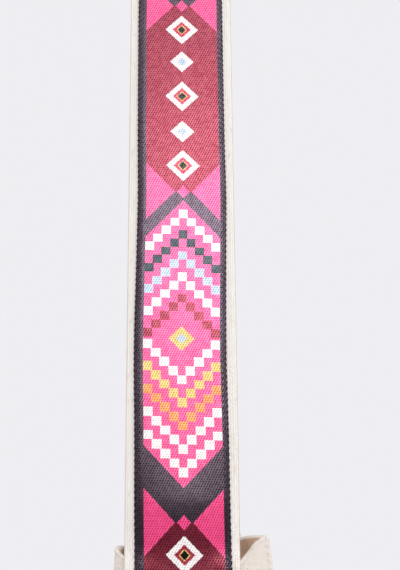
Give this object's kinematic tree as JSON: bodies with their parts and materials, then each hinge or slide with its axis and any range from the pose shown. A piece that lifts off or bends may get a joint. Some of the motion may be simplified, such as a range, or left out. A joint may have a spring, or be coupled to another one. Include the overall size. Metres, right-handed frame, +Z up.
{
  "type": "shoulder bag",
  "caption": "Upright canvas shoulder bag with a flat base, an open sagging mouth and one wide webbing strap faced with a patterned ribbon.",
  "frame": {"origin": "centre of the flat base's underside, on the surface that the bag stands on", "axes": "+X along the mouth towards the right end wall, +Y from front to back, +Z up to the strap's top"},
  "size_m": [0.3762, 0.112, 0.6011],
  "materials": {
    "canvas": "natural cotton canvas, plain weave, matt",
    "facing": "natural cotton facing, matt",
    "binding": "cotton tape, matt",
    "pocket": "light canvas, matt",
    "board": "tan stiffener sheet, matt",
    "webbing": "cream cotton webbing, ribbed, matt",
    "ribbon": "twill ribbon with a pink, burgundy and charcoal geometric print",
    "snap": "nickel finish, satin"
  },
  "bodies": {
    "root": {"front_panel": "canvas", "back_panel": "canvas", "left_gusset": "canvas", "right_gusset": "canvas", "base_panel": "canvas", "base_board": "board", "front_facing": "facing", "back_facing": "facing", "left_facing": "facing", "right_facing": "facing", "front_left_seam_binding": "binding", "front_right_seam_binding": "binding", "back_left_seam_binding": "binding", "back_right_seam_binding": "binding", "slip_pocket": "pocket", "pocket_hem": "binding", "left_anchor_patch": "facing", "right_anchor_patch": "facing", "strap_webbing": "webbing", "strap_ribbon": "ribbon", "snap_stud": "snap", "snap_socket": "snap"}
  },
  "joints": []
}
